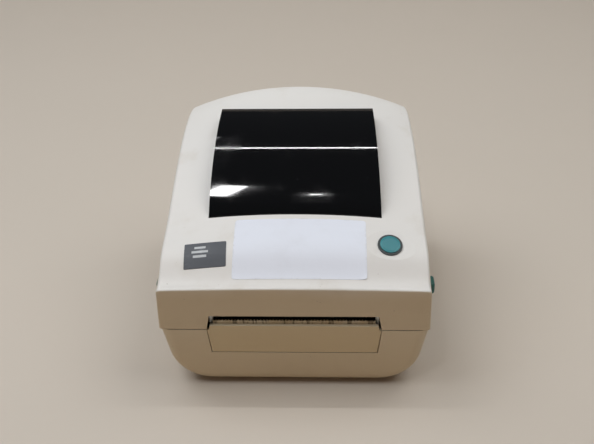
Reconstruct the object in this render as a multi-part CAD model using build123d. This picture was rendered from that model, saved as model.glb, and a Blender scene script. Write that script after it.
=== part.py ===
from build123d import *
import math
import os

# Desktop direct-thermal label printer: clamshell housing, print mechanism, media holders and electronics.
# Frame: X across the printer, -Y is the front where labels come out, +Z up.
# The origin lies on the table under the middle.
# All sizes are millimetres.

# ---- driving sizes of the housing ---------------------------------------------------------------
body_width = 208.0          # widest place, at the seam between base and cover
body_depth = 208.0
body_height = 172.0         # highest point of the domed cover
foot_height = 3.0
wall = 2.6                  # housing wall thickness
seam_z = 57.0               # parting plane between base and cover
seam_gap = 0.9
crest_z = 98.0              # top edge of the front face
panel_angle = 19.0          # slope of the front panel, degrees
panel_length = 67.5
crown_front = 1.6           # rise of the cover's middle over its shoulders, at the front
crown_rear = 20.0
crown_drop = 0.6            # share of the crown by which the shoulders lie below the panel line
rear_round = 34.0           # large round over the rear top, behind the level line
window_peak_z = 168.4       # top of the window's dome, if it ran on level
level_inset = 26.0          # the last stretch of the cover's top, which runs level
shoulder_lean_front = 1.8   # how far the cover's shoulder stands inside the seam width
shoulder_lean_rear = 11.0
front_corner_r = 3.5
rear_corner_r = 16.0
rear_lean = 7.0             # how far the rear wall leans forward up to the top
top_round = 3.0             # round along the shoulders and the rear top edge
crest_round = 1.5           # tighter round along the front crest
base_floor_half = 64.0      # half width of the flat underside
base_side_low_z = 30.0      # here the hull's curve meets the leaning side
base_side_low_half = 98.5
base_front_r = 9.0
base_rear_r = 5.0

# ---- window -------------------------------------------------------------------------------------
window_width_front = 135.0
window_width_rear = 126.5
window_sheet = 2.2
window_steep_angle = 72.0   # slope where the window leaves the panel
window_knee_angle = 45.0
window_knee_r = 20.0
window_top_inset = 54.0     # rear edge of the window ahead of the rear face
window_gap = 0.35
window_cheek = 24.0         # depth of the window's side cheeks

# ---- hinge --------------------------------------------------------------------------------------
knuckle_r = 8.0
knuckle_gap = 0.6
hinge_pin_r = 2.5
pin_clearance = 0.05
hinge_ear_x = 62.0          # middle of each hinge ear
hinge_ear_width = 9.0
ear_side_gap = 0.6

# ---- front slot, bezel and tear bar -------------------------------------------------------------
slot_top_z = 70.2
slot_half_top = 64.2
slot_half_seam = 66.8
bezel_low_z = 34.0
bezel_half_low = 64.4
bezel_top_z = 60.8
bezel_gap = 0.7
tear_bar_height = 9.2
tear_bar_rise = 3.6         # how far the tear bar stands above the bezel's lip
tear_bar_thickness = 1.0
tear_tooth_pitch = 2.4
tear_tooth_height = 0.9

# ---- platen and gear train ----------------------------------------------------------------------
platen_inset = 16.0         # axis of the platen behind the front face
platen_z = 57.5
platen_r = 8.0
platen_length = 110.0
platen_shaft_r = 3.0
running_clearance = 0.05
side_plate_x = 62.0         # inner face of each mechanism side plate
side_plate_thickness = 2.5
gear_module = 0.8
gear_width = 6.0
gear_x = 66.0               # inner face of the gear train
frame_low_z = 10.0          # underside of the mechanism frame
frame_top_z = 66.0
frame_front_inset = 5.0     # mechanism frame, front edge behind the front face
frame_rear_inset = 44.0
frame_post_x = 25.0
motor_teeth = 16
idler_teeth = 24
platen_teeth = 24
gear_backlash = 0.14
idler_drop = 17.5           # how far the idler sits below the platen
motor_drop = 8.0            # how far the motor sits below the idler
motor_r = 17.5
motor_length = 23.0
motor_shaft_r = 1.5
idler_post_r = 2.0

# ---- media bay ----------------------------------------------------------------------------------
roll_inset = 76.0           # axis of the label roll ahead of the rear face
roll_z = 97.0
bay_r = 66.0                # the bay takes a roll 127 mm across
bay_half = 60.0
chassis_wall = 2.5
deck_top_z = 54.0
deck_front_inset = 28.0     # front edge of the deck behind the front face
deck_side_gap = 1.6
arm_x = 26.0                # inner face of each roll holder arm, closed
arm_thickness = 3.5
arm_travel = 30.0
arm_foot = 12.0
hub_r = 12.5
hub_width = 5.0
hub_pin_r = 4.0
rack_module = 1.0
rack_pinion_teeth = 20
rack_low_z = 18.0
rack_height = 5.0
rack_depth = 5.0
rack_tail = 38.0

# ---- print head, hung under the front panel -----------------------------------------------------
head_half = 54.0
head_gap = 0.3              # room for the label between head and platen
head_front_inset = 7.0
head_depth = 18.0
head_thickness = 1.6
sink_height = 9.6
bracket_thickness = 2.5
pivot_inset = 40.0
pivot_z = 84.0
pivot_r = 2.0
cradle_half = 59.0
cradle_thickness = 2.4
cradle_front_inset = 8.0
cradle_rear_inset = 44.0
cradle_normal = -11.5       # underside of the cradle's top plate, measured square to the panel
boss_x = 50.0

# ---- feed button --------------------------------------------------------------------------------
button_x = 73.0
button_along = 39.0         # distance up the panel from the crest
button_ring_r = 9.5
button_ring_wall = 1.7
button_ring_depth = 6.0
button_gap = 0.15
button_travel = 1.2
dish_rim_r = 13.5           # shallow dish moulded around the button
dish_depth = 0.9
button_board_depth = 15.0   # top of the switch board below the skin

# ---- labels stuck on the panel ------------------------------------------------------------------
label_width = 101.6
label_height = 50.8
label_x = 4.4
label_along = 10.0
badge_width = 32.0
badge_height = 20.5
badge_x = -67.3
badge_along = 18.7
badge_turn = 2.5
sticker_thickness = 0.25

# ---- release latches ----------------------------------------------------------------------------
latch_inset = 38.0          # middle of each latch behind the front face
latch_z = 71.5
latch_length = 13.0
latch_height = 10.5
latch_proud = 6.0
latch_travel = 5.0
latch_round = 2.8
latch_arm = 2.6
latch_gap = 0.5
latch_plate_inset = 8.1     # how far inside the seam width the latch's slide plate starts

# ---- rear panel and electronics -----------------------------------------------------------------
board_z = 10.4
board_thickness = 1.6
board_inset = 56.0          # front edge of the main board ahead of the rear face
recess_depth = 5.5          # how far the connector panel is set in from the rear wall
recess_half = 82.0
recess_top_z = 38.0
board_half = 57.0
socket_depth = 16.0
socket_low_z = 12.0
socket_gap = 0.2
usb_x, usb_width, usb_height = -12.0, 12.0, 11.0
serial_x, serial_width, serial_height = -35.0, 30.0, 12.5
parallel_x, parallel_width, parallel_height = 25.0, 60.0, 14.0
switch_x, switch_width, switch_height = -73.5, 13.0, 19.0
inlet_x, inlet_r, inlet_bore_r = 74.0, 5.5, 3.2
rear_row_z = 25.0
rocker_pin_r = 1.2
foot_r = 7.0
foot_x = 46.0
foot_inset = 24.0           # middle of each foot from the front or rear face
screw_r = 1.5
screw_head_r = 3.0
screw_head = 1.8

dish_r = (dish_rim_r**2 + dish_depth**2) / (2 * dish_depth)
half_w = body_width / 2
latch_plate_x = half_w - latch_plate_inset
front_y = -body_depth / 2
rear_y = body_depth / 2
platen_y = front_y + platen_inset
frame_front_y = front_y + frame_front_inset
frame_rear_y = front_y + frame_rear_inset
deck_front_y = front_y + deck_front_inset
head_front_y = front_y + head_front_inset
pivot_y = front_y + pivot_inset
cradle_front_y = front_y + cradle_front_inset
cradle_rear_y = front_y + cradle_rear_inset
latch_y = front_y + latch_inset
window_top_y = rear_y - window_top_inset
level_y = rear_y - level_inset
roll_y = rear_y - roll_inset
board_front_y = rear_y - board_inset
foot_y = rear_y - foot_inset
hinge_y = rear_y - knuckle_r
hinge_z = seam_z
socket_y = rear_y - recess_depth

# ---- lines that shape the cover -----------------------------------------------------------------
panel_rad = math.radians(panel_angle)
panel_end_y = front_y + panel_length * math.cos(panel_rad)
panel_end_z = crest_z + panel_length * math.sin(panel_rad)
steep = math.radians(window_steep_angle)
knee = math.radians(window_knee_angle)
knee_end_y = panel_end_y + window_knee_r * (math.sin(steep) - math.sin(knee))
knee_end_z = panel_end_z + window_knee_r * (math.cos(knee) - math.cos(steep))


dome_r = (window_peak_z - knee_end_z) / (1 - math.cos(knee))
dome_y = knee_end_y + dome_r * math.sin(knee)


def crown(y):
    """Rise of the cover's middle over its shoulders, growing towards the rear and then level."""
    share = min((y - front_y) / (level_y - front_y), 1.0)
    return crown_front + (crown_rear - crown_front) * share


def shoulder_z(y):
    """Height of the cover's side shoulder: the straight panel, then one smooth rise to the level rear."""
    if y <= panel_end_y:
        return crest_z + (y - front_y) * math.tan(panel_rad) - crown_drop * crown(y)
    start_z = panel_end_z - crown_drop * crown(panel_end_y)
    level_z = body_height - crown_rear
    if y >= level_y:
        over = min(y - level_y, rear_round)
        return level_z - rear_round + math.sqrt(rear_round**2 - over**2)
    run = level_y - panel_end_y
    t = (y - panel_end_y) / run
    start_slope = math.tan(panel_rad) * run
    return ((2 * t**3 - 3 * t**2 + 1) * start_z + (t**3 - 2 * t**2 + t) * start_slope
            + (3 * t**2 - 2 * t**3) * level_z)


def shoulder_slope(y, step=0.5):
    return math.atan2(shoulder_z(y + step) - shoulder_z(y - step), 2 * step)


def shoulder_half(y):
    """Half width of the cover at its shoulder, which draws in faster towards the rear."""
    share = (y - front_y) / body_depth
    lean = shoulder_lean_rear - shoulder_lean_front
    return half_w - shoulder_lean_front - lean * share * abs(share)


def cover_section(y, inset):
    """Cross-section of the cover across X at one Y: straight leaning sides and a crowned top."""
    drop = inset / math.cos(shoulder_slope(y))
    low_half = half_w - inset
    top_half = shoulder_half(y) - inset
    side_z = shoulder_z(y) - drop
    low_z = seam_z - 2 * knuckle_r - 3
    outline = Polyline((-top_half, side_z), (-low_half, low_z), (low_half, low_z), (top_half, side_z))
    top = ThreePointArc((top_half, side_z), (0, side_z + crown(y)), (-top_half, side_z))
    return Plane(origin=(0, y, 0), x_dir=(1, 0, 0), z_dir=(0, -1, 0)) * make_face(outline + top)


def cover_form(inset):
    """The solid form of the cover before it is cut to the plan outline, moved inwards by inset."""
    rise = level_y - panel_end_y
    stations = [front_y - 3, front_y + 0.35 * panel_length, panel_end_y - 0.2 * panel_length, panel_end_y]
    stations += [panel_end_y + share * rise for share in (0.14, 0.3, 0.48, 0.66, 0.84, 1.0)]
    behind = rear_y + 3 - level_y
    stations += [level_y + share * behind for share in (0.3, 0.6, 0.82, 1.0)]
    return loft([cover_section(y, inset) for y in stations])


def plan_outline(inset, z, rear):
    """Plan outline of the housing at height z: a rectangle with rounded corners."""
    x = half_w - inset
    front = front_y + inset
    face = make_face(Polyline((-x, rear - inset), (-x, front), (x, front), (x, rear - inset), close=True))
    front_pair = face.vertices().sort_by(Axis.Y)[:2]
    face = fillet(front_pair, max(front_corner_r - inset, 1.0))
    rear_pair = face.vertices().sort_by(Axis.Y)[-2:]
    return Pos(0, 0, z) * fillet(rear_pair, max(rear_corner_r - inset, 1.0))


def cover_block(inset):
    """Upright form with the cover's plan outline and its leaning rear wall."""
    low_z = seam_z
    high_z = body_height + 5
    low_plan = plan_outline(inset, low_z, rear_y)
    high_plan = plan_outline(inset, high_z, rear_y - rear_lean)
    upper = loft([low_plan, high_plan], ruled=True)
    return upper + extrude(plan_outline(inset, low_z - 2 * knuckle_r, rear_y), 2 * knuckle_r)


def round_top(form):
    """Rounds the shoulders and the rear top edge, then the front crest more tightly."""
    lowest_top = crest_z - crown_front - 6
    top = [e for e in form.edges() if e.bounding_box().min.Z > lowest_top]
    rest = [e for e in top if e.bounding_box().max.Y > front_y + front_corner_r + 4]
    form = form.solids()[0].fillet(top_round, rest)
    top = [e for e in form.edges() if e.bounding_box().min.Z > lowest_top]
    crest = [e for e in top if e.bounding_box().max.Y < front_y + front_corner_r + 1]
    return form.fillet(crest_round, crest)


def bar_x(radius, x0, x1, y, z):
    """A round bar along X."""
    return Pos((x0 + x1) / 2, y, z) * Rot(0, 90, 0) * Cylinder(radius, x1 - x0)


def bar_y(radius, y0, y1, x, z):
    return Pos(x, (y0 + y1) / 2, z) * Rot(90, 0, 0) * Cylinder(radius, y1 - y0)


def bar_z(radius, z0, z1, x, y):
    return Pos(x, y, (z0 + z1) / 2) * Cylinder(radius, z1 - z0)


def block(x0, x1, y0, y1, z0, z1):
    return Pos((x0 + x1) / 2, (y0 + y1) / 2, (z0 + z1) / 2) * Box(x1 - x0, y1 - y0, z1 - z0)


def slab_yz(points, x0, x1):
    """A flat piece with its outline in the YZ plane, from x0 to x1."""
    face = make_face(Polyline(*[(x0, y, z) for y, z in points], close=True))
    return extrude(face, x1 - x0, dir=(1, 0, 0))


def slab_xz(points, y0, y1):
    """A flat piece with its outline in the XZ plane, from y0 to y1."""
    face = make_face(Polyline(*[(x, y0, z) for x, z in points], close=True))
    return extrude(face, y1 - y0, dir=(0, 1, 0))


def both_sides(piece):
    """A piece and its mirror image across the middle plane."""
    return [piece, mirror(piece, Plane.YZ)]


def group(pieces):
    """Several separate solids as one node."""
    solids = [solid for piece in pieces for solid in piece.solids()]
    return Compound(children=solids)


# ---- housing ------------------------------------------------------------------------------------
panel = Plane(
    origin=(0, front_y, crest_z),
    x_dir=(1, 0, 0),
    z_dir=(0, -math.sin(panel_rad), math.cos(panel_rad)),
)


def base_outline(inset):
    """Front view of the base's hull: flat floor, rounded belly and sides that lean out to the seam."""
    low_z = foot_height + inset
    top_z = seam_z + 1
    floor = base_floor_half - inset * 0.4
    low_half = base_side_low_half - inset
    top_half = half_w - inset
    lean = (top_half - low_half, top_z - base_side_low_z)
    right = Bezier(
        (floor, 0, low_z),
        (floor + 0.55 * (low_half - floor), 0, low_z),
        (low_half - 0.55 * lean[0] * (base_side_low_z - low_z) / lean[1], 0,
         low_z + 0.45 * (base_side_low_z - low_z)),
        (low_half, 0, base_side_low_z),
    )
    left = mirror(right, Plane.YZ)
    rest = [
        Line((low_half, 0, base_side_low_z), (top_half, 0, top_z)),
        Line((top_half, 0, top_z), (-top_half, 0, top_z)),
        Line((-top_half, 0, top_z), (-low_half, 0, base_side_low_z)),
        Line((-floor, 0, low_z), (floor, 0, low_z)),
    ]
    return make_face(Curve() + [right, left] + rest)


def base_form(inset):
    """Hull of the base, moved inwards by inset, with its front lower edge rounded."""
    low_z = foot_height + inset
    top_z = seam_z + 1
    hull = extrude(base_outline(inset), body_depth / 2 - inset, both=True)
    long_edges = hull.edges().filter_by(Axis.X).sort_by(Axis.Z)[:2].sort_by(Axis.Y)
    hull = fillet(long_edges[0], base_front_r - inset)
    return hull & extrude(plan_outline(inset, low_z, rear_y), top_z - low_z)


def slot_outline(gap):
    """Front view of the media slot in the cover, widened by gap, running well below the seam."""
    spread = (slot_half_seam - slot_half_top) / (slot_top_z - seam_z)
    low = slot_half_seam + spread * knuckle_r + gap
    return [(-low, seam_z - knuckle_r), (-slot_half_top - gap, slot_top_z + gap),
            (slot_half_top + gap, slot_top_z + gap), (low, seam_z - knuckle_r)]


def bezel_outline(gap):
    """Front view of the bezel: a trapezoid in the base and a lip that stands up into the slot."""
    low = bezel_half_low - gap
    seam = slot_half_seam + 0.2 - gap
    share = (bezel_top_z - seam_z) / (slot_top_z - seam_z)
    lip_seam = slot_half_seam - 1.2 - gap
    lip_top = slot_half_seam - share * (slot_half_seam - slot_half_top) - 1.2 - gap
    seam_step = seam_z - seam_gap / 2
    return [(-low, bezel_low_z + gap), (-seam, seam_step), (-lip_seam, seam_step), (-lip_top, bezel_top_z),
            (lip_top, bezel_top_z), (lip_seam, seam_step), (seam, seam_step), (low, bezel_low_z + gap)]


def hinge_ear():
    """Upright ear that holds the hinge pin, on the base's floor."""
    x0 = hinge_ear_x - hinge_ear_width / 2
    x1 = hinge_ear_x + hinge_ear_width / 2
    ear_r = knuckle_r - 0.6
    stem = block(x0, x1, hinge_y - ear_r, hinge_y + ear_r, foot_height + wall / 2, hinge_z)
    return stem + bar_x(ear_r, x0, x1, hinge_y, hinge_z)


def chassis_posts():
    return [(sx * 72.0, y) for sx in (-1, 1) for y in (deck_front_y + 30, hinge_y - 22)]


def base_shell():
    shell = base_form(0) - base_form(wall)
    shell -= block(-half_w, half_w, front_y, rear_y, seam_z - seam_gap / 2, seam_z + 2)
    reach = knuckle_r + knuckle_gap
    shell -= bar_x(reach, -half_w, half_w, hinge_y, hinge_z)
    shell -= block(-half_w, half_w, hinge_y, rear_y, hinge_z - reach, seam_z + 1)
    front_wall = front_y - 1, front_y + wall + 1
    hole = [(-bezel_half_low, bezel_low_z), (-slot_half_seam - 0.2, seam_z + 1),
            (slot_half_seam + 0.2, seam_z + 1), (bezel_half_low, bezel_low_z)]
    shell -= slab_xz(hole, *front_wall)
    for ear in both_sides(hinge_ear()):
        shell += ear - bar_x(hinge_pin_r, -half_w, half_w, hinge_y, hinge_z)
    for x, y in chassis_posts():
        shell += bar_z(4.0, foot_height, deck_top_z - chassis_wall, x, y) & base_form(wall / 2)
        shell -= bar_z(screw_r, deck_top_z - 16, deck_top_z, x, y)
    shell += bar_z(6.0, foot_height + wall / 2, rack_low_z - 0.6, 0, roll_y)
    shell += bar_z(3.0, rack_low_z - 1, rack_low_z + rack_height + 1.5, 0, roll_y)
    for piece in rack_rails() + frame_posts():
        shell += piece
    side, floor_z = recess_half + wall, foot_height + wall / 2
    panel_wall = block(-side, side, socket_y - wall, rear_y - wall / 2, floor_z, recess_top_z + wall)
    shell += panel_wall & base_form(wall / 2)
    pocket = extrude(base_outline(wall), (recess_depth + 2) / 2, both=True)
    pocket = Pos(0, (socket_y + rear_y + 2) / 2, 0) * pocket
    shell -= pocket & block(-recess_half, recess_half, socket_y, rear_y + 2, 0, recess_top_z)
    for hole in rear_holes():
        shell -= hole
    for x, y in frame_spots() + board_spots():
        shell -= bar_z(screw_r, foot_height + wall / 2 + 1, board_z + 1, x, y)
    return shell


def rack_rails():
    """Low ribs on the floor that the two rack bars slide on."""
    pitch_r = rack_module * rack_pinion_teeth / 2
    near = pitch_r + 1.25 * rack_module
    rails = []
    for side in (-1, 1):
        for x in (-22.0, 22.0):
            y0, y1 = sorted((roll_y + side * near, roll_y + side * (near + rack_depth)))
            rails.append(block(x - 3, x + 3, y0, y1, foot_height + wall / 2, rack_low_z - 0.1))
    return rails


def frame_spots():
    return [(sx * frame_post_x, y) for sx in (-1, 1) for y in (-92.0, -66.0)]


def board_spots():
    return [(sx * (board_half - 4), board_front_y + 4) for sx in (-1, 1)]


def frame_posts():
    """Posts under the mechanism frame and the main board."""
    low = foot_height + wall / 2
    posts = [bar_z(4.5, low, frame_low_z, x, y) for x, y in frame_spots()]
    return posts + [bar_z(3.0, low, board_z, x, y) for x, y in board_spots()]


def rear_holes():
    """Openings in the rear wall for the sockets, the switch and the power inlet."""
    y0, y1 = socket_y - wall - 1, socket_y + 1
    holes = []
    rows = ((usb_x, usb_width, usb_height), (serial_x, serial_width, serial_height),
            (parallel_x, parallel_width, parallel_height))
    for x, width, height in rows:
        half = width / 2 + socket_gap
        z0 = socket_low_z - socket_gap
        z1 = socket_low_z + height + socket_gap
        holes.append(block(x - half, x + half, y0, y1, z0, z1))
    half = switch_width / 2 + socket_gap
    tall = switch_height / 2 + socket_gap
    holes.append(block(switch_x - half, switch_x + half, y0, y1, rear_row_z - tall, rear_row_z + tall))
    holes.append(bar_y(inlet_r + socket_gap, y0, y1, inlet_x, rear_row_z))
    return holes


def rubber_feet():
    corners = [(sx * foot_x, sy * foot_y) for sx in (-1, 1) for sy in (-1, 1)]
    return group([bar_z(foot_r, 0, foot_height, x, y) for x, y in corners])


def front_bezel():
    plate = slab_xz(bezel_outline(bezel_gap), front_y, front_y + wall)
    behind = front_y + wall
    z0 = bezel_low_z + 5
    tab = block(bezel_half_low - 8, bezel_half_low + 5, behind, behind + 1.5, z0, z0 + 10)
    tabs = both_sides(tab)
    shelf = block(-slot_half_top + 4, slot_half_top - 4, behind - 0.5, behind + tear_bar_thickness + 1.2,
                  bezel_top_z - tear_bar_height + 0.5, bezel_top_z - tear_bar_height + 2)
    return plate + tabs[0] + tabs[1] + shelf


def tear_bar():
    """Steel strip with a saw-toothed top edge, behind the bezel's lip."""
    half = slot_half_top - 2.5
    count = int(2 * half / tear_tooth_pitch)
    low = bezel_top_z + tear_bar_rise - tear_bar_height
    top = low + tear_bar_height
    points = [(-half, low)]
    for i in range(count):
        x = -half + i * 2 * half / count
        points += [(x, top), (x + half / count, top - tear_tooth_height)]
    points += [(half, top), (half, low)]
    y0 = front_y + wall
    return slab_xz(points, y0, y0 + tear_bar_thickness)


def panel_height(x, y):
    """Height of the cover's skin on the front panel."""
    half = shoulder_half(y)
    rise = crown(y)
    radius = (half * half + rise * rise) / (2 * rise)
    return shoulder_z(y) + rise - radius + math.sqrt(radius * radius - x * x)


def panel_spot(x, along):
    """Plane lying on the skin of the front panel, along mm up from the crest, its z axis pointing out."""
    y = front_y + along * math.cos(panel_rad)
    step = 0.5
    slope_x = (panel_height(x + step, y) - panel_height(x - step, y)) / (2 * step)
    slope_y = (panel_height(x, y + step) - panel_height(x, y - step)) / (2 * step)
    return Plane(origin=(x, y, panel_height(x, y)), x_dir=(1, 0, slope_x), z_dir=(-slope_x, -slope_y, 1))


def on_panel(x, along, piece):
    return panel_spot(x, along).location * piece


def window_plan(gap, low_z, high_z):
    """Upright form with the window's tapering plan outline, widened by gap."""
    front = window_front_y() - 6
    rear = window_top_y + gap
    taper = (window_width_front - window_width_rear) / 2 / (window_top_y - panel_end_y)
    front_half = window_width_front / 2 + taper * (panel_end_y - front) + gap
    rear_half = window_width_rear / 2 - taper * gap + gap
    corners = [(-front_half, front), (front_half, front), (rear_half, rear), (-rear_half, rear)]
    plan = Polyline(corners, close=True)
    return extrude(Pos(0, 0, low_z) * make_face(plan), high_z - low_z)


def window_front_y():
    """Where the steep front of the window would reach the wall's inner face beside the crown."""
    return panel_end_y - 8.0 / math.tan(steep)


def window_profile(inset, drop):
    """Side outline under the window's outer surface: steep front, knee and dome, closed drop mm below."""
    start_y = window_front_y()
    start_z = panel_end_z - 8.0
    knee_c = (panel_end_y + window_knee_r * math.sin(steep), panel_end_z - window_knee_r * math.cos(steep))
    dome_z = window_peak_z - dome_r

    def at(centre, radius, angle):
        return (0, centre[0] - radius * math.sin(angle), centre[1] + radius * math.cos(angle))

    r1 = window_knee_r - inset
    r2 = dome_r - inset
    dome_c = (dome_y, dome_z)
    end = math.asin((dome_y - window_top_y) / dome_r)
    p0 = (0, start_y + inset * math.sin(steep), start_z - inset * math.cos(steep))
    p1 = at(knee_c, r1, steep)
    p2 = at(knee_c, r1, (steep + knee) / 2)
    p3 = at(knee_c, r1, knee)
    p4 = at(dome_c, r2, (knee + end) / 2)
    p5 = at(dome_c, r2, end)
    top = [Line(p0, p1), ThreePointArc(p1, p2, p3), ThreePointArc(p3, p4, p5)]
    low = (0, p5[1], p5[2] - drop)
    mid = (0, p3[1] + drop * 0.7, p3[2] - drop * 0.7)
    foot = (0, p0[1] + 0.3 * drop, p0[2] - 0.05 * drop)
    return make_face(Curve() + top + [Line(p5, low), Line(low, mid), Line(mid, foot), Line(foot, p0)])


def media_window():
    """Smoked window: one bent sheet with deep side cheeks."""
    half = window_width_front / 2 + 2
    outer = extrude(window_profile(0, window_cheek), half, both=True)
    inner = extrude(window_profile(window_sheet, window_cheek * 2), half + 2, both=True)
    body = outer & window_plan(0, 80, body_height + 5)
    core = inner & window_plan(-window_sheet, 80, body_height + 5)
    return body - core


def cover_outer():
    return round_top(cover_form(0) & cover_block(0))


def latch_slot(gap):
    """Opening in the right side wall for the latch tab, long enough for its travel."""
    y0 = latch_y - latch_length / 2 - latch_travel - gap
    y1 = latch_y + latch_length / 2 + gap
    z0 = latch_z - latch_height / 2 - gap
    z1 = latch_z + latch_height / 2 + gap
    return block(half_w - 8, half_w + 5, y0, y1, z0, z1)


def latch_rails():
    """Ribs inside the right side wall, above and below the latch's slide plate."""
    y0 = latch_y - latch_length / 2 - latch_travel - 6
    y1 = latch_y + latch_length / 2 + 5
    top = latch_z + latch_height / 2 + 3
    low = latch_z - latch_height / 2 - 3
    upper = block(latch_plate_x - 0.5, half_w, y0, y1, top + 0.25, top + 2.25)
    lower = block(latch_plate_x + latch_arm + 0.3, half_w, y0, y1, low - 2.25, low - 0.25)
    return [upper, lower]


def boss_spots():
    """Where the print head cradle is screwed up under the front panel: x, and distance up the panel."""
    return [(sx * boss_x, along) for sx in (-1, 1) for along in (11.0, 37.0)]


def cover_shell():
    inner = cover_form(wall) & cover_block(wall)
    shell = cover_outer() - inner
    shell &= block(-half_w - 1, half_w + 1, front_y - 1, rear_y + 1, seam_z + seam_gap / 2, body_height + 5)
    shell += bar_x(knuckle_r, -half_w, half_w, hinge_y, hinge_z) & cover_block(0)
    ear_half = hinge_ear_width / 2 + ear_side_gap
    for x in (-hinge_ear_x, hinge_ear_x):
        reach = knuckle_r + 1
        low, high = hinge_z - reach, hinge_z + reach
        shell -= block(x - ear_half, x + ear_half, hinge_y - reach, rear_y + 1, low, high)
        shell -= bar_x(hinge_pin_r + pin_clearance, x - 15, x + 15, hinge_y, hinge_z)
    shell -= slab_xz(slot_outline(0), front_y - 1, front_y + wall + 1)
    shell -= window_plan(window_gap, 100, body_height + 5) & block(-80, 80, window_front_y(), 60, 100, 180)
    shell -= on_panel(button_x, button_along, Pos(0, 0, dish_r - dish_depth) * Sphere(dish_r))
    shell -= on_panel(button_x, button_along, Cylinder(button_ring_r + 0.02, 24))
    for rib in latch_rails():
        for one in both_sides(rib & (cover_form(wall / 2) & cover_block(wall / 2))):
            shell += one
    for hole in both_sides(latch_slot(latch_gap)):
        shell -= hole
    low = cradle_normal + cradle_thickness
    for x, along in boss_spots():
        post = panel.location * Pos(x, along, low / 2) * Cylinder(3.2, -low)
        shell += post & cover_form(wall / 2)
        shell -= panel.location * Pos(x, along, low + 2.0) * Cylinder(screw_r, 4.2)
    for dx in (-9.0, 9.0):
        post = Pos(dx, -13, -button_board_depth / 2) * Cylinder(2.2, button_board_depth)
        post = on_panel(button_x, button_along, post)
        shell += post & cover_form(wall / 2)
    return shell


def hinge_pins():
    x0 = hinge_ear_x - 12.0
    x1 = hinge_ear_x + 12.0
    return group(both_sides(bar_x(hinge_pin_r, x0, x1, hinge_y, hinge_z)))


def button_ring():
    bore_r = button_ring_r - button_ring_wall
    ring = Cylinder(button_ring_r, button_ring_depth) - Cylinder(bore_r, button_ring_depth + 2)
    return on_panel(button_x, button_along, Pos(0, 0, 0.6 - button_ring_depth / 2) * ring)


def feed_button():
    """Domed button cap on a stem that reaches the switch below."""
    cap_r = button_ring_r - button_ring_wall - button_gap
    dome = 1.1
    sphere_r = (cap_r ** 2 + dome ** 2) / (2 * dome)
    cap = Pos(0, 0, -2.5) * Cylinder(cap_r, 8)
    cap &= Pos(0, 0, 1.1 + dome - sphere_r) * Sphere(sphere_r)
    cap &= Pos(0, 0, 0) * Box(40, 40, 8.8)
    stem_low = -button_board_depth + button_travel + 2.6
    stem = Pos(0, 0, (stem_low - 3) / 2) * Cylinder(2.0, -3 - stem_low)
    return on_panel(button_x, button_along, cap + stem)


def button_board():
    """Small board with the push switch under the feed button."""
    top = -button_board_depth
    board = Pos(0, -1, top - board_thickness / 2) * Box(24, 30, board_thickness)
    switch = Pos(0, 0, top + 1.2) * Box(6, 6, 2.4)
    return on_panel(button_x, button_along, board + switch)


def sticker(width, height, x, along, turn, corner):
    """Thin sheet that follows the crowned front panel."""
    y = front_y + along * math.cos(panel_rad)
    plan = RectangleRounded(width, height * math.cos(panel_rad), corner)
    mid_y = y + height / 2 * math.cos(panel_rad)
    prism = extrude(Pos(x, mid_y, 80) * Rot(0, 0, turn) * plan, 60)
    return (cover_form(-0.02 - sticker_thickness) - cover_form(-0.02)) & prism


def label_sheet():
    return sticker(label_width, label_height, label_x, label_along, 0, 2.0)


def badge_plate():
    return sticker(badge_width, badge_height, badge_x, badge_along, badge_turn, 2.5)


def latch_right():
    """Release latch: outside tab, slide plate inside the wall, arm and hook down into the base."""
    y0 = latch_y - latch_length / 2
    y1 = latch_y + latch_length / 2
    z0 = latch_z - latch_height / 2
    z1 = latch_z + latch_height / 2
    out = half_w + latch_proud - 1
    tab = block(latch_plate_x, out, y0, y1, z0, z1)
    tab = fillet(tab.edges().filter_by(Axis.X), latch_round)
    tab = fillet(tab.edges().group_by(Axis.X)[-1], latch_round - 0.6)
    plate = block(latch_plate_x, latch_plate_x + latch_arm, y0 - 3, y1 + 3, z0 - 3, z1 + 3)
    arm_low = deck_top_z - chassis_wall - 3.4
    arm = block(latch_plate_x, latch_plate_x + latch_arm, latch_y - 5, latch_y + 5, arm_low, z0)
    hook = block(latch_plate_x, latch_plate_x + latch_arm, latch_y + 5, latch_y + 8, arm_low, arm_low + 2.6)
    return tab + plate + arm + hook


def latch_left():
    return mirror(latch_right(), Plane.YZ)


# ---- chassis and media bay ----------------------------------------------------------------------
def media_tray():
    """Deck inside the seam with the round-bottomed bay for the label roll."""
    low_z = deck_top_z - chassis_wall
    room = block(-half_w, half_w, deck_front_y, hinge_y - 11, low_z, deck_top_z)
    deck = base_form(wall + deck_side_gap) & room
    outer = bar_x(bay_r + chassis_wall, -bay_half - chassis_wall, bay_half + chassis_wall, roll_y, roll_z)
    bowl = outer & block(-half_w, half_w, -half_w, rear_y, 0, deck_top_z)
    inner = bar_x(bay_r, -bay_half, bay_half, roll_y, roll_z)
    tray = deck + bowl - inner
    tray -= block(-bay_half, bay_half, hinge_y - 20, rear_y, deck_top_z, deck_top_z + 20)
    for x0, x1 in ((arm_x - 1.5, bay_half), (-bay_half, 1.5 - arm_x)):
        tray -= block(x0, x1, roll_y - arm_foot / 2 - 0.5, roll_y + arm_foot / 2 + 0.5, 0, deck_top_z - 14)
    notch = block(latch_plate_x - 1.5, half_w, latch_y - 12, latch_y + 8.3, low_z - 1, deck_top_z + 1)
    for cut in both_sides(notch):
        tray -= cut
    for x, y in chassis_posts():
        tray -= bar_z(screw_r + 0.1, low_z - 1, deck_top_z + 1, x, y)
    return tray


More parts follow.
